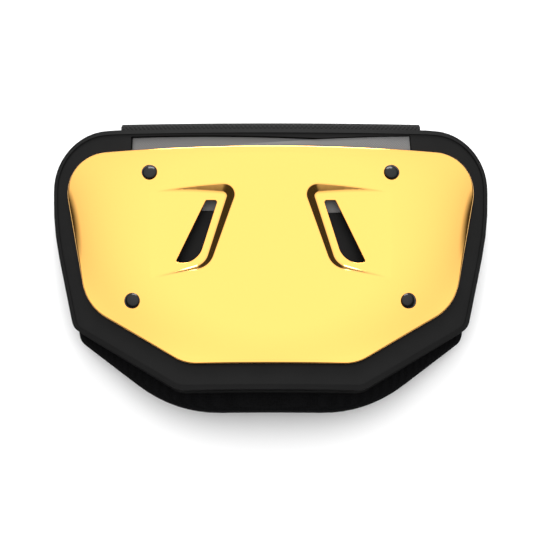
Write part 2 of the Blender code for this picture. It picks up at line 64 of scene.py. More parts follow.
camera_data = bpy.data.cameras.new("camera")
camera = bpy.data.objects.new("camera", camera_data)
bpy.context.collection.objects.link(camera)
camera.location = TARGET + DISTANCE * Vector((0, -math.cos(ELEVATION), math.sin(ELEVATION)))
camera.rotation_euler = (math.pi / 2 - ELEVATION, 0, 0)
camera_data.sensor_width = 36
camera_data.lens = camera_data.sensor_width * DISTANCE / FRAME_WIDTH
bpy.context.scene.camera = camera
bpy.context.scene.view_settings.view_transform = "Standard"


# The rear pad: open-cell foam in a black spacer-mesh cover, pulled tight round its edges. It lies
# against the wearer, so it is bent to the back, and its side rims are pressed flat by the table.
BEND_RADIUS = 0.440  # of the front foam's face
FACE_HEIGHT = 0.0473  # of that face over the table, in the middle
REAR_BOTTOM = cad_box[0][1]
PAD_TOP = REAR_BOTTOM + 0.2034
REAR_HALF_WIDTH = 0.1600
REAR_THICKNESS = 0.014
REAR_FACE = -0.0113
REAR_CORNERS = (
    {"u": 1.000, "v": 1.000, "radius": 0.255},
    {"u": 1.000, "v": 0.700, "radius": 1.130},
    {"u": 0.887, "v": 0.260, "radius": 0.070},
    {"u": 0.436, "v": 0.000, "radius": 0.625},
)
REAR_BACK_ROUND = 0.0055
REAR_FACE_ROUND = 0.0040
PIECE_GAP = 0.0003
BAND_HALF_WIDTH = 0.1121
BAND_THICKNESS = 0.0018
BAND_SIDE_GAP = 0.0002
BAND_BED_FOOT = PAD_TOP - 0.0286  # the band's front leg lies in a bed from here up
SAG = 0.0029  # the top edge's drop in the middle, where the band drags on it
SAG_START = PAD_TOP - 0.0297
COLUMN_STEP = 0.004
DIE_REACH = 0.01  # how far a die stands out past what it presses
MESH_PITCH_MM = 1.2  # from one hole of the cover to the next


def deselect():
    """Leaves edit mode with no object selected, before a new piece is started."""
    if bpy.context.object and bpy.context.object.mode == "EDIT":
        bpy.ops.object.mode_set(mode="OBJECT")
    bpy.ops.object.select_all(action="DESELECT")


def outline_points(rows, half_width, bottom, top, step=math.radians(5)):
    """A closed outline, anticlockwise, from the rounded corners of its right half."""
    height = top - bottom
    right = []
    for row in rows:
        place = Vector((row["u"] * half_width, bottom + row["v"] * height))
        right.append((place, row["radius"] * half_width))
    left = [(Vector((-place.x, place.y)), radius) for place, radius in right]
    return round_corners(left + right[::-1], step)


def round_corners(corners, step=math.radians(5), closed=True):
    """A line of points through corners of (place, radius), each corner drawn as an arc."""
    points = []
    for i, (here, radius) in enumerate(corners):
        at_end = not closed and i in (0, len(corners) - 1)
        if radius <= 0 or at_end:
            points.append(here)
            continue
        back = (corners[i - 1][0] - here).normalized()
        ahead = (corners[(i + 1) % len(corners)][0] - here).normalized()
        half = back.angle(ahead) / 2
        centre = here + (back + ahead).normalized() * radius / math.sin(half)
        start = here + back * radius / math.tan(half) - centre
        turn = math.copysign(math.pi - 2 * half, -back.cross(ahead))
        steps = max(2, math.ceil(abs(turn) / step))
        for k in range(steps + 1):
            angle = turn * k / steps
            cos, sin = math.cos(angle), math.sin(angle)
            points.append(centre + Vector((start.x * cos - start.y * sin, start.x * sin + start.y * cos)))
    return points


def foam_block(name, outline, low, high):
    """A flat block of foam: its outline filled, then pulled up to its thickness."""
    deselect()
    bpy.ops.mesh.primitive_circle_add(vertices=len(outline), fill_type="NGON")
    block = bpy.context.object
    block.name = name
    for vert, place in zip(block.data.vertices, outline):
        vert.co = (place.x, place.y, low)
    bpy.ops.object.mode_set(mode="EDIT")
    bpy.ops.mesh.select_all(action="SELECT")
    bpy.ops.mesh.extrude_region_move(TRANSFORM_OT_translate={"value": (0, 0, high - low)})
    bpy.ops.mesh.select_all(action="SELECT")
    bpy.ops.mesh.normals_make_consistent(inside=False)
    bpy.ops.object.mode_set(mode="OBJECT")
    return block


def select_faces(piece, wanted):
    """Selects the faces of a piece that the test wants, in edit mode."""
    bpy.ops.object.mode_set(mode="EDIT")
    bpy.ops.mesh.select_all(action="DESELECT")
    bpy.ops.mesh.select_mode(type="FACE")
    mesh = bmesh.from_edit_mesh(piece.data)
    for face in mesh.faces:
        face.select_set(wanted(face))
    bmesh.update_edit_mesh(piece.data)


def round_edge(piece, wanted, width, segments):
    """Bevels the rim of the faces that the test wants."""
    select_faces(piece, wanted)
    bpy.ops.mesh.region_to_loop()
    bpy.ops.mesh.bevel(offset=width, segments=segments, profile=0.5, affect="EDGES", clamp_overlap=False)
    bpy.ops.object.mode_set(mode="OBJECT")


def cut_columns(piece, step):
    """Cuts a flat piece into columns across its width, so that it can bend."""
    reach = max(abs(vert.co.x) for vert in piece.data.vertices)
    bpy.ops.object.mode_set(mode="EDIT")
    for k in range(-int(reach / step), int(reach / step) + 1):
        bpy.ops.mesh.select_all(action="SELECT")
        bpy.ops.mesh.bisect(plane_co=(k * step, 0, 0), plane_no=(1, 0, 0))
    bpy.ops.object.mode_set(mode="OBJECT")


def press_box(piece, low, high, turn=0):
    """Presses a box-shaped recess into a piece. The turn is about the middle of the box."""
    middle = [(a + b) / 2 for a, b in zip(low, high)]
    size = [b - a for a, b in zip(low, high)]
    bpy.ops.mesh.primitive_cube_add(size=1, location=middle, rotation=(0, 0, turn), scale=size)
    die = bpy.context.object
    deselect()
    piece.select_set(True)
    bpy.context.view_layer.objects.active = piece
    bpy.ops.object.modifier_add(type="BOOLEAN")
    piece.modifiers[-1].object = die
    bpy.ops.object.modifier_apply(modifier=piece.modifiers[-1].name)
    bpy.data.objects.remove(die)


def sag_top(piece):
    """Pulls the top edge of a flat piece down in the middle, where the band drags on it."""
    for vert in piece.data.vertices:
        share = min(1, max(0, (vert.co.y - SAG_START) / (PAD_TOP - SAG_START)))
        across = max(0, 1 - (vert.co.x / BAND_HALF_WIDTH) ** 2)
        vert.co.y -= SAG * across * share * share * (3 - 2 * share)


# An empty for the bend modifiers, which bend every piece about the same axis.
bpy.ops.object.empty_add(rotation=(-math.pi / 2, 0, 0))
bend_axis = bpy.context.object


def bend_to_back(piece):
    """Bends a flat piece to the wearer's back and lifts it to its height over the table."""
    across = [vert.co.x for vert in piece.data.vertices]
    bpy.ops.object.modifier_add(type="SIMPLE_DEFORM")
    bend = piece.modifiers[-1]
    bend.deform_method = "BEND"
    bend.deform_axis = "Z"
    bend.origin = bend_axis
    bend.angle = (max(across) - min(across)) / BEND_RADIUS
    bpy.ops.object.modifier_apply(modifier=bend.name)
    for vert in piece.data.vertices:
        vert.co.z += FACE_HEIGHT


def finish_piece(piece, node, smooth=math.radians(40)):
    """Smooths a finished piece and puts it in its solid's place on the part."""
    deselect()
    piece.select_set(True)
    bpy.context.view_layer.objects.active = piece
    bpy.ops.object.shade_smooth_by_angle(angle=smooth)
    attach(piece, "root")
    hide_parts(node)


def linear(colour):
    """The linear value of an sRGB hex colour."""
    channels = [int(colour[i:i + 2], 16) / 255 for i in (1, 3, 5)]
    return (*[c / 12.92 if c <= 0.04045 else ((c + 0.055) / 1.055) ** 2.4 for c in channels], 1)


def new_material(name, piece):
    """A bare material on the piece, its shader node and its node tree."""
    material = bpy.data.materials.new(name)
    material.use_nodes = True
    piece.data.materials.clear()
    piece.data.materials.append(material)
    return material.node_tree, material.node_tree.nodes["Principled BSDF"]


def add(tree, kind, links=(), **settings):
    """Adds a node: settings set its properties or its sockets, links feed sockets from others."""
    node = tree.nodes.new("ShaderNode" + kind)
    for key, value in settings.items():
        if hasattr(node, key):
            setattr(node, key, value)
        else:
            node.inputs[key.replace("_", " ")].default_value = value
    for socket, source in dict(links).items():
        tree.links.new(source, node.inputs[socket])
    return node


rear = foam_block(
    "rear_foam",
    outline_points(REAR_CORNERS, REAR_HALF_WIDTH, REAR_BOTTOM, PAD_TOP),
    REAR_FACE - REAR_THICKNESS,
    REAR_FACE,
)
round_edge(rear, lambda face: face.normal.z < -0.9, REAR_BACK_ROUND, 6)
round_edge(rear, lambda face: face.normal.z > 0.9, REAR_FACE_ROUND, 6)
press_box(
    rear,
    (-BAND_HALF_WIDTH - BAND_SIDE_GAP, BAND_BED_FOOT, REAR_FACE - BAND_THICKNESS - PIECE_GAP),
    (BAND_HALF_WIDTH + BAND_SIDE_GAP, PAD_TOP + DIE_REACH, 0),
)
cut_columns(rear, COLUMN_STEP)
sag_top(rear)
bend_to_back(rear)
bpy.ops.object.mode_set(mode="EDIT")
bpy.ops.mesh.select_all(action="SELECT")
bpy.ops.mesh.bisect(plane_co=(0, 0, 0), plane_no=(0, 0, 1), clear_inner=True, use_fill=True)
bpy.ops.object.mode_set(mode="OBJECT")

# Spacer mesh, knitted polyester: small holes between fine shining yarns, with the holes painted darker
# than the yarns as painted shade.
tree, shader = new_material("spacer_mesh_black_polyester", rear)
where = add(tree, "TexCoord")
holes = add(tree, "TexVoronoi", {"Vector": where.outputs["Object"]}, Randomness=0.35)
holes.inputs["Scale"].default_value = 1000 / MESH_PITCH_MM
# The ramp paints the sunken holes darker than the yarns: painted shade in the holes.
ramp = add(tree, "ValToRGB", {"Fac": holes.outputs["Distance"]})
ramp.color_ramp.elements[0].position = 0.15
ramp.color_ramp.elements[0].color = linear("#040404")
ramp.color_ramp.elements[1].position = 0.62
ramp.color_ramp.elements[1].color = linear("#0d0d0e")
tree.links.new(ramp.outputs["Color"], shader.inputs["Base Color"])
bump = add(tree, "Bump", {"Height": holes.outputs["Distance"]}, Strength=0.6, Distance=0.0004)
tree.links.new(bump.outputs["Normal"], shader.inputs["Normal"])
shader.inputs["Roughness"].default_value = 0.8
shader.inputs["Specular IOR Level"].default_value = 0.03
finish_piece(rear, "rear_pad")


# The front pad: closed-cell foam pressed to shape in a heated mould. That gives it a matte skin,
# a rounded edge, a thin lip at its foot and beds in its face that the straps lie in.
FRONT_BOTTOM = REAR_BOTTOM + 0.0127
FRONT_HALF_WIDTH = 0.1601
FRONT_THICKNESS = 0.011
FRONT_CORNERS = (
    {"u": 1.000, "v": 1.000, "radius": 0.255},
    {"u": 1.000, "v": 0.640, "radius": 1.280},
    {"u": 0.888, "v": 0.245, "radius": 0.080},
    {"u": 0.403, "v": 0.000, "radius": 0.110},
)
FRONT_EDGE_ROUND = 0.0038
LIP_WIDTH = 0.0008
LIP_HEIGHT = 0.0014
STRAP_LENGTH = 0.133
STRAP_WIDTH = 0.054
STRAP_OUTER_END = 0.100
STRAPS = (
    {"name": "strap_left", "side": -1, "below_top": 0.0069, "slant": math.radians(1.7), "level": -0.0033},
    {"name": "strap_right", "side": 1, "below_top": 0.0061, "slant": math.radians(4.2), "level": -0.0020},
)
BED_CLEARANCE = 0.0004
PLATE_TOP = PAD_TOP - 0.0168
VENT_INNER = 0.0205
VENT_WIDTH = 0.0615
VENT_TOP = PLATE_TOP - 0.0276
VENT_HEIGHT = 0.0677
RELIEF_LEVEL = -0.0019  # the foam's face is pressed to this level under each vent

front = foam_block(
    "front_foam",
    outline_points(FRONT_CORNERS, FRONT_HALF_WIDTH, FRONT_BOTTOM, PAD_TOP),
    -FRONT_THICKNESS,
    LIP_HEIGHT - FRONT_THICKNESS,
)
round_edge(front, lambda face: face.normal.z > 0.9, LIP_HEIGHT * 0.4, 3)
select_faces(front, lambda face: face.normal.z > 0.9)
bpy.ops.mesh.inset(thickness=LIP_WIDTH, depth=0)
bpy.ops.mesh.extrude_region_move(TRANSFORM_OT_translate={"value": (0, 0, FRONT_THICKNESS - LIP_HEIGHT)})
bpy.ops.object.mode_set(mode="OBJECT")
round_edge(
    front, lambda face: face.normal.z > 0.9 and face.calc_center_median().z > -0.001, FRONT_EDGE_ROUND, 8
)


def strap_middle(row):
    """The middle of a strap, from its outer top corner, its slant and its size."""
    cos, sin = math.cos(row["slant"]), math.sin(row["slant"])
    u = -STRAP_OUTER_END + STRAP_LENGTH / 2 * cos - STRAP_WIDTH / 2 * sin
    v = PAD_TOP - row["below_top"] - STRAP_LENGTH / 2 * sin - STRAP_WIDTH / 2 * cos
    return Vector((-row["side"] * u, v))


cut_columns(front, COLUMN_STEP)
sag_top(front)
for row in STRAPS:
    middle = strap_middle(row)
    reach = Vector((STRAP_LENGTH / 2 + BED_CLEARANCE, STRAP_WIDTH / 2 + BED_CLEARANCE))
    low = (*(middle - reach), row["level"] - PIECE_GAP)
    press_box(front, low, (*(middle + reach), DIE_REACH), turn=row["side"] * row["slant"])
for side in (-1, 1):
    left, right = sorted((side * VENT_INNER, side * (VENT_INNER + VENT_WIDTH)))
    press_box(front, (left, VENT_TOP - VENT_HEIGHT, RELIEF_LEVEL), (right, VENT_TOP, DIE_REACH))
cut_columns(front, COLUMN_STEP)
bend_to_back(front)

# Moulded EVA foam: a black skin with a faint fine grain, a little shiny where the mould pressed.
tree, shader = new_material("moulded_eva_foam_black", front)
where = add(tree, "TexCoord")
grain = add(tree, "TexNoise", {"Vector": where.outputs["Object"]}, Scale=1600, Detail=3)
cloud = add(tree, "TexNoise", {"Vector": where.outputs["Object"]}, Scale=60, Detail=2)
ramp = add(tree, "ValToRGB", {"Fac": cloud.outputs["Fac"]})
ramp.color_ramp.elements[0].color = linear("#0d0d0d")
ramp.color_ramp.elements[1].color = linear("#131313")
tree.links.new(ramp.outputs["Color"], shader.inputs["Base Color"])
bump = add(tree, "Bump", {"Height": grain.outputs["Fac"]}, Strength=0.25, Distance=0.0003)
tree.links.new(bump.outputs["Normal"], shader.inputs["Normal"])
shader.inputs["Roughness"].default_value = 0.55
shader.inputs["Specular IOR Level"].default_value = 0.1
finish_piece(front, "front_pad")


# The band: a wide strip of heavy black webbing. Its front leg is tucked in between the two pads.
# It folds loosely over the top edge of the rear pad and is sewn to its cover at the back.
BAND_FRONT = REAR_FACE  # its front leg's side that touches the front pad
BAND_BACK = REAR_FACE - REAR_THICKNESS - PIECE_GAP  # its rear leg's side that touches the rear pad
BAND_FRONT_END = PAD_TOP - 0.028
BAND_REAR_END = PAD_TOP - 0.042
BAND_SLACK = 0.0054  # its fold stands this much over the pads' top edge
BAND_FOLD_ROUND = 0.0025  # at the middle of its thickness


def strip_line(corners):
    """The line that a folded strip follows, with its length so far at each point."""
    points = round_corners(corners, step=math.radians(10), closed=False)
    lengths = [0]
    for start, end in zip(points, points[1:]):
        lengths.append(lengths[-1] + (end - start).length)
    return points, lengths


def fold_strip(strip, line, half_length):
    """Folds a flat strip, made along Y about the origin, over a line in the (v, h) plane."""
    points, lengths = line
    for vert in strip.data.vertices:
        reach = min(max(vert.co.y + half_length, 0), lengths[-1])
        i = min(max(1, int(np.searchsorted(lengths, reach))), len(points) - 1)
        share = (reach - lengths[i - 1]) / (lengths[i] - lengths[i - 1])
        place = points[i - 1].lerp(points[i], share)
        vert.co = (vert.co.x, place.x, place.y)


def webbing_strip(name, width, length, step):
    """A flat strip of webbing about the origin, its UV map running 0 to 1 both ways."""
    deselect()
    cells = {"x_subdivisions": round(width / step), "y_subdivisions": round(length / step)}
    bpy.ops.mesh.primitive_grid_add(size=1, **cells)
    strip = bpy.context.object
    strip.name = name
    for vert in strip.data.vertices:
        vert.co = (vert.co.x * width, vert.co.y * length, 0)
    return strip


def thicken(strip, thickness, offset):
    """Gives a strip its thickness, with softly rounded selvedges."""
    bpy.ops.object.modifier_add(type="SOLIDIFY")
    wall = strip.modifiers[-1]
    wall.thickness = thickness
    wall.offset = offset
    bpy.ops.object.modifier_apply(modifier=wall.name)
    bpy.ops.object.modifier_add(type="BEVEL")
    soft = strip.modifiers[-1]
    soft.width = thickness * 0.3
    soft.segments = 2
    soft.limit_method = "ANGLE"
    soft.angle_limit = math.radians(60)
    bpy.ops.object.modifier_apply(modifier=soft.name)


half_thick = BAND_THICKNESS / 2  # from a face to the middle of the thickness, where its line runs
fold_top = PAD_TOP + BAND_SLACK + half_thick
band_line = strip_line([
    (Vector((BAND_FRONT_END, BAND_FRONT - half_thick)), 0),
    (Vector((fold_top, BAND_FRONT - half_thick)), BAND_FOLD_ROUND),
    (Vector((fold_top, BAND_BACK - half_thick)), BAND_FOLD_ROUND),
    (Vector((BAND_REAR_END, BAND_BACK - half_thick)), 0),
])
band_length = band_line[1][-1]
band = webbing_strip("band", 2 * BAND_HALF_WIDTH, band_length, 0.0025)
fold_strip(band, band_line, band_length / 2)
thicken(band, BAND_THICKNESS, 0)
sag_top(band)
bend_to_back(band)


def woven(tree, shader, uv_size_mm, pitch_mm, light, dark, depth):
    """Plain-woven webbing on a UV map: rows of raised yarns, each crossing over and under, with painted
    shade darkening the hollows between them.
    """
    where = add(tree, "TexCoord")
    size = add(tree, "Mapping", {"Vector": where.outputs["UV"]})
    size.inputs["Scale"].default_value = (*[math.pi * s / pitch_mm for s in uv_size_mm], 1)
    split = add(tree, "SeparateXYZ", {"Vector": size.outputs["Vector"]})
    across = add(tree, "Math", {0: split.outputs["X"]}, operation="SINE")
    along = add(tree, "Math", {0: split.outputs["Y"]}, operation="SINE")
    weave = add(tree, "Math", {0: across.outputs[0], 1: along.outputs[0]}, operation="MULTIPLY")
    height = add(tree, "MapRange", {"Value": weave.outputs[0]})
    height.inputs["From Min"].default_value = -1
    # The ramp runs from the dark colour in the hollows to the light one on the raised yarns: painted
    # shade in the hollows.
    ramp = add(tree, "ValToRGB", {"Fac": height.outputs["Result"]})
    ramp.color_ramp.elements[0].color = linear(dark)
    ramp.color_ramp.elements[1].color = linear(light)
    tree.links.new(ramp.outputs["Color"], shader.inputs["Base Color"])
    bump = add(tree, "Bump", {"Height": height.outputs["Result"]}, Strength=0.8, Distance=depth)
    tree.links.new(bump.outputs["Normal"], shader.inputs["Normal"])


# Heavy polypropylene webbing: thick yarns about 1.6 mm apart, matt with a slight sheen.
tree, shader = new_material("heavy_webbing_black_polypropylene", band)
# The darker colour is painted shade, laid in the hollows of the weave.
woven(tree, shader, (2000 * BAND_HALF_WIDTH, 1000 * band_length), 1.6, "#111111", "#050505", 0.0005)
shader.inputs["Roughness"].default_value = 0.7
shader.inputs["Specular IOR Level"].default_value = 0.2
finish_piece(band, "top_band")


# The two straps: smooth dark grey two-inch webbing, each held at its outer end by an upper
# rivet. They slant down to the middle and cross there, the right one over the left.
STRAP_THICKNESS = 0.001


def make_strap(row):
    """One strap, laid flat at its slant and bent with the rest."""
    strap = webbing_strip(row["name"] + "_webbing", STRAP_LENGTH, STRAP_WIDTH, 0.004)
    turn = Matrix.Rotation(row["side"] * row["slant"], 3, "Z")
    middle = strap_middle(row)
    for vert in strap.data.vertices:
        vert.co = turn @ vert.co + Vector((middle.x, middle.y, row["level"]))
    thicken(strap, STRAP_THICKNESS, 1)
    bend_to_back(strap)
    # Fine nylon webbing: yarns about 0.9 mm apart, smooth and a little shiny.
    tree, shader = new_material("fine_webbing_grey_nylon", strap)
    # The darker grey is painted shade, laid in the hollows of the weave.
    woven(tree, shader, (1000 * STRAP_LENGTH, 1000 * STRAP_WIDTH), 0.9, "#646464", "#505050", 0.0002)
    shader.inputs["Roughness"].default_value = 0.6
    finish_piece(strap, row["name"])


for row in STRAPS:
    make_strap(row)


# The hard plate: one sheet moulded in tough plastic and metallised golden yellow. It is crowned,
# and two scoops are sunk in it, each ending in a steep wall beside a slot that lets air through.
PLATE_HALF_WIDTH = 0.15315
PLATE_BOTTOM = PLATE_TOP - 0.1554
PLATE_BOW = 0.0011  # the top edge falls this much from its middle to its ends
PLATE_CORNERS = (
    {"u": 1.000, "v": 1.000, "radius": 0.185},
    {"u": 0.853, "v": 0.280, "radius": 0.260},
    {"u": 0.385, "v": 0.000, "radius": 0.204},
)
PLATE_THICKNESS = 0.0023
RIM_GAP = 0.0012
CROWN = 0.0055
CROWN_RUN = 0.060
RIM_ROUND = 0.0011
SLOT_ROUND = 0.0006
EDGE_STEPS = (0, 0.08, 0.25, 0.5, 0.75, 1.0, 1.6)  # loops in from an edge, in shares of its rounding
EDGE_CLEARANCE = 0.3  # no other points lie this near to the last loop, in the same shares
VENT_RIM = (
    {"out": 1.000, "down": 0.084, "radius": 0.0},
    {"out": 0.500, "down": 0.027, "radius": 6.0},
    {"out": 0.000, "down": 0.000, "radius": 0.140},
    {"out": 0.343, "down": 0.911, "radius": 0.240},
    {"out": 0.985, "down": 1.000, "radius": 0.0},
)
VENT_SLOT = (
    {"out": 0.397, "down": 0.183, "radius": 0.020},
    {"out": 0.268, "down": 0.183, "radius": 0.024},
    {"out": 0.456, "down": 0.755, "radius": 0.230},
    {"out": 0.590, "down": 0.854, "radius": 0.210},
    {"out": 0.728, "down": 0.835, "radius": 0.020},
)
RAMP_SLOPE = 0.0955
WALL_SLOPE = 0.67
SCOOP_EDGE_ROUND = 0.0004
SCOOP_FLOOR_ROUND = 0.0008
RAMP_START_ROUND = 0.004
OUTLINE_STEP = 0.0014
VENT_STEP = 0.0008
GRID = 0.0016
FINE = 0.0005
GRID_GAP = 0.55 * GRID
FINE_GAP = 0.7 * FINE
ROW_ORDER = (0, -1, 1, -2, 2, -3, 3)  # rows of points from a bend outwards, the nearest first
FOOT_SPREAD = 1.3  # the rows at a wall's foot lie this much wider apart
FOOT_SHARE = 0.95  # a foot point counts if it is nearly its full distance from all of the rim
STOP_AT_OUTLINE = 1  # this way of filling leaves out what lies beyond the outermost loop
JOIN_WITHIN = 1e-8


def vent_line(rows, closed):
    """A vent's line on the right-hand side, from shares of the scoop's width and height."""
    corners = []
    for row in rows:
        place = Vector((VENT_INNER + row["out"] * VENT_WIDTH, VENT_TOP - row["down"] * VENT_HEIGHT))
        corners.append((place, row["radius"] * VENT_WIDTH))
    return round_corners(corners, closed=closed)


def evenly(points, step, closed):
    """The same line as an array of points, with more added so that none are a step apart."""
    ends = points[1:] + points[:1] if closed else points[1:]
    line = []
    for start, end in zip(points, ends):
        parts = math.ceil((end - start).length / step)
        line += [start.lerp(end, k / parts) for k in range(parts)]
    if not closed:
        line.append(points[-1])
    return np.array(line)


def offset_line(line, distance, closed):
    """A line of points moved to its left by this distance."""
    if closed:
        along = np.roll(line, -1, axis=0) - np.roll(line, 1, axis=0)
    else:
        along = np.gradient(line, axis=0)
    along /= np.linalg.norm(along, axis=1)[:, None]
    return line + distance * np.column_stack((-along[:, 1], along[:, 0]))


def line_distance(points, line):
    """The distance of each point from a line's nearest stretch."""
    start, run = line[:-1], np.diff(line, axis=0)
    gap = points[:, None, :] - start[None]
    share = np.clip((gap * run).sum(2) / (run ** 2).sum(1), 0, 1)
    return np.linalg.norm(gap - share[..., None] * run, axis=2).min(1)


def within(points, line):
    """Which points a line goes round, its ends taken as joined."""
    a, b = line, np.roll(line, -1, axis=0)
    x, y = points[:, :1], points[:, 1:]
    spans = (a[:, 1] > y) != (b[:, 1] > y)
    rise = np.where(b[:, 1] == a[:, 1], 1, b[:, 1] - a[:, 1])
    crossing = a[:, 0] + (b[:, 0] - a[:, 0]) * (y - a[:, 1]) / rise
    return (spans & (x < crossing)).sum(1) % 2 == 1


def soft_floor(value, radius):
    """Value where it is positive and nothing where it isn't, with the corner rounded."""
    blend = (np.clip(value, -radius, radius) + radius) ** 2 / (4 * radius)
    return np.where(value > radius, value, blend)


def soft_least(a, b, radius):
    """The smaller of two values, with the corner where they cross rounded."""
    near = np.clip(radius - np.abs(a - b), 0, None) / radius
    return np.minimum(a, b) - near * near * radius / 4


def scoop_depth(points, rim):
    """How far the plate is sunk at each point."""
    right = np.column_stack((np.abs(points[:, 0]), points[:, 1]))
    reach = line_distance(right, rim)
    reach = np.where(within(right, rim), reach, -reach)
    wall = WALL_SLOPE * soft_floor(reach, SCOOP_EDGE_ROUND)
    ramp = RAMP_SLOPE * soft_floor(VENT_INNER + VENT_WIDTH - right[:, 0], RAMP_START_ROUND)
    return np.clip(soft_least(wall, ramp, SCOOP_FLOOR_ROUND), 0, None)


def plate_corners():
    """The plate's outline before its corners are rounded."""
    height = PLATE_TOP - PLATE_BOTTOM
    right = [Vector((r["u"] * PLATE_HALF_WIDTH, PLATE_BOTTOM + r["v"] * height)) for r in PLATE_CORNERS]
    return np.array([(-p.x, p.y) for p in right] + [(p.x, p.y) for p in right[::-1]])


def crown(points):
    """How far the plate stands over its rim: it rises from every edge and levels off."""
    height = np.full(len(points), CROWN)
    corners = plate_corners()
    for corner, after in zip(corners, np.roll(corners, -1, axis=0)):
        along = (after - corner) / np.linalg.norm(after - corner)
        reach = (points - corner) @ np.array((-along[1], along[0]))
        height *= 1 - (1 - np.clip(reach / CROWN_RUN, 0, 1)) ** 3
    return height


def plate_surface(points, rim):
    """The height of the plate's outer face over the foam's face."""
    return RIM_GAP + PLATE_THICKNESS + crown(points) - scoop_depth(points, rim)


def mirrored(line):
    """The same line on the other side, in the order that keeps it anticlockwise."""
    return line[::-1] * (-1, 1)


def edge_drop(distance, radius):
    """How far a rounded edge has fallen at this distance in from it."""
    inner = np.clip(radius - distance, 0, radius)
    return radius - np.sqrt(radius * radius - inner * inner)


def thin_out(points, taken, gap):
    """The points that lie at least a gap away from all those taken."""
    kept = []
    cells = {}
    for x, y in taken:
        cells.setdefault((int(x // gap), int(y // gap)), []).append((x, y))
    for x, y in points:
        cell = (int(x // gap), int(y // gap))
        near = [(cell[0] + i, cell[1] + j) for i in (-1, 0, 1) for j in (-1, 0, 1)]
        around = [place for key in near for place in cells.get(key, ())]
        if all((x - a) ** 2 + (y - b) ** 2 >= gap * gap for a, b in around):
            kept.append((x, y))
            cells.setdefault(cell, []).append((x, y))
    return np.array(kept).reshape(-1, 2)


def joined_up(loops):
    """The edges that close each loop, by the place of each point in the list of them all."""
    edges = []
    first = 0
    for loop in loops:
        count = len(loop)
        edges += [(first + i, first + (i + 1) % count) for i in range(count)]
        first += count
    return edges


def scoop_rows(rim, fine_rim):
    """Rows of points along the right scoop's edge and along the foot of its walls."""
    along = np.gradient(fine_rim, axis=0)
    along /= np.linalg.norm(along, axis=1)[:, None]
    inward = np.column_stack((-along[:, 1], along[:, 0]))
    ramp_here = RAMP_SLOPE * (VENT_INNER + VENT_WIDTH - fine_rim[:, 0])
    wall_width = ramp_here / (WALL_SLOPE + RAMP_SLOPE * inward[:, 0])
    rows = [offset_line(fine_rim, k * FINE, closed=False) for k in ROW_ORDER]
    for k in ROW_ORDER:
        width = wall_width + k * FINE * FOOT_SPREAD
        foot = fine_rim + inward * width[:, None]
        rows.append(foot[line_distance(foot, rim) > FOOT_SHARE * width])
    return np.vstack(rows)


def on_plate(points):
    """Which points lie on the plate, clear of its rounded edges."""
    inner = offset_line(outline, (EDGE_STEPS[-1] + EDGE_CLEARANCE) * RIM_ROUND, closed=True)
    keep = within(points, inner)
    for edge in slots:
        around = offset_line(edge, -(1 + EDGE_CLEARANCE) * SLOT_ROUND, closed=True)
        keep &= ~within(points, around)
    return keep


def plate_shell(places, height, drop, triangles):
    """The plate's mesh: an outer and an inner skin, joined by a wall along every open edge."""
    shape = bmesh.new()
    upper = [shape.verts.new((*p, h - d)) for p, h, d in zip(places, height, drop)]
    lower = [shape.verts.new((*p, h - PLATE_THICKNESS)) for p, h in zip(places, height)]
    seen = {}
    for a, b, c in triangles:
        shape.faces.new((upper[a], upper[b], upper[c]))
        shape.faces.new((lower[c], lower[b], lower[a]))
        for pair in ((a, b), (b, c), (c, a)):
            key = frozenset(pair)
            seen[key] = None if key in seen else pair
    for a, b in filter(None, seen.values()):
        shape.faces.new((upper[b], upper[a], lower[a], lower[b]))
    for vert in [v for v in shape.verts if not v.link_faces]:
        shape.verts.remove(vert)
    shell = bpy.data.meshes.new("plate_shell")
    shape.to_mesh(shell)
    shape.free()
    return shell


outline = outline_points(PLATE_CORNERS, PLATE_HALF_WIDTH, PLATE_BOTTOM, PLATE_TOP)
outline = evenly(outline, OUTLINE_STEP, closed=True)
rise = np.clip(2 * (outline[:, 1] - PLATE_BOTTOM) / (PLATE_TOP - PLATE_BOTTOM) - 1, 0, 1)
outline[:, 1] -= PLATE_BOW * rise * (outline[:, 0] / PLATE_HALF_WIDTH) ** 2
slot = evenly(vent_line(VENT_SLOT, closed=True), VENT_STEP, closed=True)
rim = np.array(vent_line(VENT_RIM, closed=False))
fine_rim = evenly([Vector(p) for p in rim], VENT_STEP, closed=False)
slots = [slot, mirrored(slot)]

# Loops of points close together along each rounded edge, each with its drop from the surface.
loops = []
drops = []
for share in EDGE_STEPS:
    loops.append(offset_line(outline, share * RIM_ROUND, closed=True))
    drops.append(np.full(len(outline), edge_drop(share * RIM_ROUND, RIM_ROUND)))
for edge in slots:
    for share in EDGE_STEPS[:-1]:
        loops.append(offset_line(edge, -share * SLOT_ROUND, closed=True))
        drops.append(np.full(len(edge), edge_drop(share * SLOT_ROUND, SLOT_ROUND)))

# Points close together where the scoops bend, then an even grid over the rest.
detail = scoop_rows(rim, fine_rim)
detail = np.vstack((detail, detail * (-1, 1)))
grid_x, grid_y = np.meshgrid(
    np.arange(-PLATE_HALF_WIDTH, PLATE_HALF_WIDTH, GRID), np.arange(PLATE_BOTTOM, PLATE_TOP, GRID)
)
grid_x = grid_x + (np.arange(grid_x.shape[0]) % 2)[:, None] * GRID / 2
grid = np.column_stack((grid_x.ravel(), grid_y.ravel()))
detail = thin_out(detail[on_plate(detail)], [], FINE_GAP)
grid = thin_out(grid[on_plate(grid)], detail, GRID_GAP)

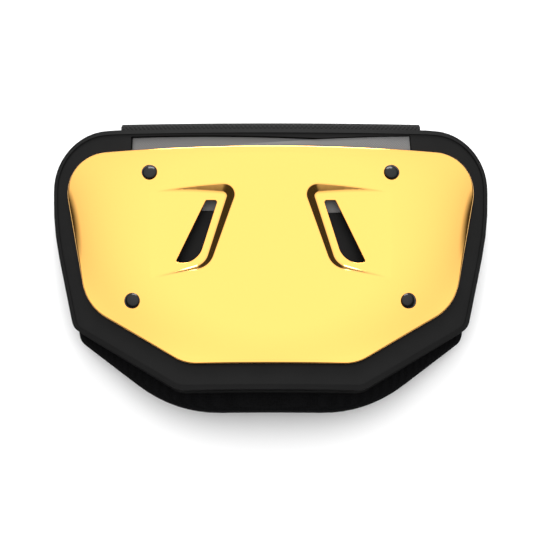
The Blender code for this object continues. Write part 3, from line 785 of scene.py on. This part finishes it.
# The points are joined in triangles, those in the slots are left out, and the rest get a thickness.
points = np.vstack((*loops, detail, grid))
drop = np.concatenate((*drops, np.zeros(len(detail) + len(grid))))
filled = delaunay_2d_cdt([Vector(p) for p in points], joined_up(loops), [], STOP_AT_OUTLINE, JOIN_WITHIN)
places, triangles, sources = filled[0], filled[2], filled[3]
places = np.array([tuple(p) for p in places])
drop = np.array([drop[source[0]] if source else 0 for source in sources])
middles = places[np.array([tuple(t) for t in triangles])].mean(axis=1)
kept = ~(within(middles, slots[0]) | within(middles, slots[1]))
triangles = [triangle for triangle, keep in zip(triangles, kept) if keep]
shell = plate_shell(places, plate_surface(places, rim), drop, triangles)
plate = bpy.data.objects.new("plate_shell", shell)
bpy.context.collection.objects.link(plate)
deselect()
plate.select_set(True)
bpy.context.view_layer.objects.active = plate
bend_to_back(plate)

# Metallised plastic: a golden mirror coat under clear lacquer, so it reflects the room in yellow.
tree, shader = new_material("metallised_golden_yellow_plastic", plate)
shader.inputs["Base Color"].default_value = linear("#e8ab4b")
shader.inputs["Metallic"].default_value = 1.0
shader.inputs["Roughness"].default_value = 0.07
shader.inputs["Coat Weight"].default_value = 1.0
shader.inputs["Coat Roughness"].default_value = 0.06
finish_piece(plate, "hard_plate")


# The rivets: pressed steel caps, domed and painted gloss black, snapped over tube rivets.
CAP_RADIUS = 0.0055
CAP_HEIGHT = 0.0027
CAP_CUT = 0.35  # the ball that a cap is made from is cut off here, in shares of its radius
CAP_RIM = 0.2  # and this much of a straight rim goes on below the cut


def axis_of(solid):
    """The two ends of a turned solid's axis: the middle of its flat foot and the top of its dome."""
    places = np.array([vert.co for vert in solid.data.vertices])
    centre = places.mean(axis=0)
    axis = np.linalg.svd(places - centre)[2][0]
    axis *= np.sign(axis[2])
    along = (places - centre) @ axis
    foot = places[along < along.min() + 1e-4].mean(axis=0)
    top = places[along > along.max() - 1e-5].mean(axis=0)
    return Vector(foot), Vector(top)


def make_rivet(node):
    """A domed cap where the solid rivet's cap is, facing the way that it faces."""
    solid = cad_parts[node]
    deselect()
    bpy.ops.mesh.primitive_uv_sphere_add(segments=48, ring_count=24, radius=1)
    cap = bpy.context.object
    cap.name = node + "_cap"
    bpy.ops.object.mode_set(mode="EDIT")
    bpy.ops.mesh.select_all(action="SELECT")
    bpy.ops.mesh.bisect(plane_co=(0, 0, CAP_CUT), plane_no=(0, 0, 1), clear_inner=True)
    bpy.ops.mesh.select_all(action="DESELECT")
    bpy.ops.mesh.select_mode(type="EDGE")
    bpy.ops.mesh.select_non_manifold()
    bpy.ops.mesh.extrude_region_move(TRANSFORM_OT_translate={"value": (0, 0, -CAP_RIM)})
    bpy.ops.mesh.edge_face_add()
    bpy.ops.object.mode_set(mode="OBJECT")
    foot, top = axis_of(solid)
    outward = (top - foot).normalized()
    turn = Vector((0, 0, 1)).rotation_difference(outward).to_matrix()
    widest = max(math.hypot(vert.co.x, vert.co.y) for vert in cap.data.vertices)
    lowest = CAP_CUT - CAP_RIM
    for vert in cap.data.vertices:
        up = (vert.co.z - lowest) / (1 - lowest) * CAP_HEIGHT
        local = Vector((vert.co.x / widest * CAP_RADIUS, vert.co.y / widest * CAP_RADIUS, up))
        vert.co = top - outward * CAP_HEIGHT + turn @ local
    bpy.ops.object.mode_set(mode="EDIT")
    bpy.ops.mesh.select_all(action="SELECT")
    bpy.ops.mesh.normals_make_consistent(inside=False)
    bpy.ops.object.mode_set(mode="OBJECT")
    tree, shader = new_material("gloss_black_painted_steel", cap)
    shader.inputs["Base Color"].default_value = linear("#0d0d0e")
    shader.inputs["Roughness"].default_value = 0.18
    shader.inputs["Specular IOR Level"].default_value = 0.25
    finish_piece(cap, node)


for node in ("rivet_upper_left", "rivet_upper_right", "rivet_lower_left", "rivet_lower_right"):
    make_rivet(node)


# The table: a plain pale sheet, far larger than the part.
TABLE_SIZE = 8
TABLE_DROP = 0.0002
deselect()
bpy.ops.mesh.primitive_plane_add(size=TABLE_SIZE, location=(0, 0, -TABLE_DROP))
table = bpy.context.object
table.name = "table"
tree, shader = new_material("pale_table_paint", table)
shader.inputs["Base Color"].default_value = linear("#f4f4f4")
shader.inputs["Roughness"].default_value = 0.9

# Soft studio light: a wide white dome, tilted to the top edge, that fades to dark all round, and
# a softbox beyond that edge. They light the rivets' upper sides and put the shadow below.
DOME_TILT = math.radians(18)
DOME_STRENGTH = 2.05
DOME_STOPS = (  # how bright the dome is, by the cosine of the angle from its middle
    {"cosine": 0.38, "level": 0.03},
    {"cosine": 0.46, "level": 0.7},
    {"cosine": 0.6, "level": 0.8},
    {"cosine": 0.93, "level": 1.0},
)
DOME_DARK = (0.03, 0.03, 0.03, 1)
SOFTBOX_TILT = math.radians(67)
SOFTBOX_DISTANCE = 1.4
SOFTBOX_WIDTH = 1.0
SOFTBOX_HEIGHT = 0.4
SOFTBOX_WATTS = 20
place = (0, SOFTBOX_DISTANCE * math.sin(SOFTBOX_TILT), SOFTBOX_DISTANCE * math.cos(SOFTBOX_TILT))
bpy.ops.object.light_add(type="AREA", location=place, rotation=(-SOFTBOX_TILT, 0, 0))
softbox = bpy.context.object
softbox.name = "softbox"
softbox.data.shape = "RECTANGLE"
softbox.data.size = SOFTBOX_WIDTH
softbox.data.size_y = SOFTBOX_HEIGHT
softbox.data.energy = SOFTBOX_WATTS
world = bpy.data.worlds.new("studio_dome")
world.use_nodes = True
bpy.context.scene.world = world
tree = world.node_tree
where = add(tree, "TexCoord")
up = add(tree, "VectorMath", {0: where.outputs["Generated"]}, operation="DOT_PRODUCT")
up.inputs[1].default_value = (0, math.sin(DOME_TILT), math.cos(DOME_TILT))
dome = add(tree, "ValToRGB", {"Fac": up.outputs["Value"]})
for row in DOME_STOPS:
    stop = dome.color_ramp.elements.new(row["cosine"])
    stop.color = (row["level"], row["level"], row["level"], 1)
dome.color_ramp.elements.remove(dome.color_ramp.elements[-1])
dome.color_ramp.elements[0].color = DOME_DARK
tree.links.new(dome.outputs["Color"], tree.nodes["Background"].inputs["Color"])
tree.nodes["Background"].inputs["Strength"].default_value = DOME_STRENGTH

bpy.data.objects.remove(bend_axis)
